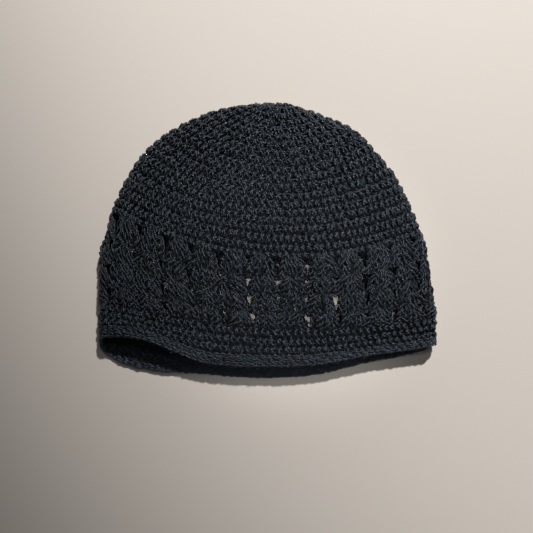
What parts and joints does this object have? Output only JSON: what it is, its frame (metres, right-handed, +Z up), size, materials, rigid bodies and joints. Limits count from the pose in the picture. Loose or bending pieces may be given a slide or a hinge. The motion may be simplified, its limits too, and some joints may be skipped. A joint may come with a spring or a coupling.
{
  "type": "crochet kufi cap",
  "caption": "Close-fitting brimless cap crocheted in the round in black cotton, with a plain domed crown, an openwork band of fans and a plain rim, lying flat.",
  "frame": {"origin": "on the surface that the cap lies on, below the middle of its bounding box", "axes": "+Z up from the surface, +Y from the rim towards the crown, +X across the cap from its left fold to its right fold as seen from the rim"},
  "size_m": [0.2236, 0.1865, 0.0283],
  "materials": {
    "crown_yarn": "matt mercerised cotton yarn, half double crochet",
    "shell_yarn": "matt mercerised cotton yarn, open shell stitch",
    "rim_yarn": "matt mercerised cotton yarn, close plain rounds",
    "edging_yarn": "matt mercerised cotton yarn, smooth edge round"
  },
  "bodies": {
    "root": {"crown": "crown_yarn", "shell_band": "shell_yarn", "rim_band": "rim_yarn", "edging": "edging_yarn"}
  },
  "joints": []
}
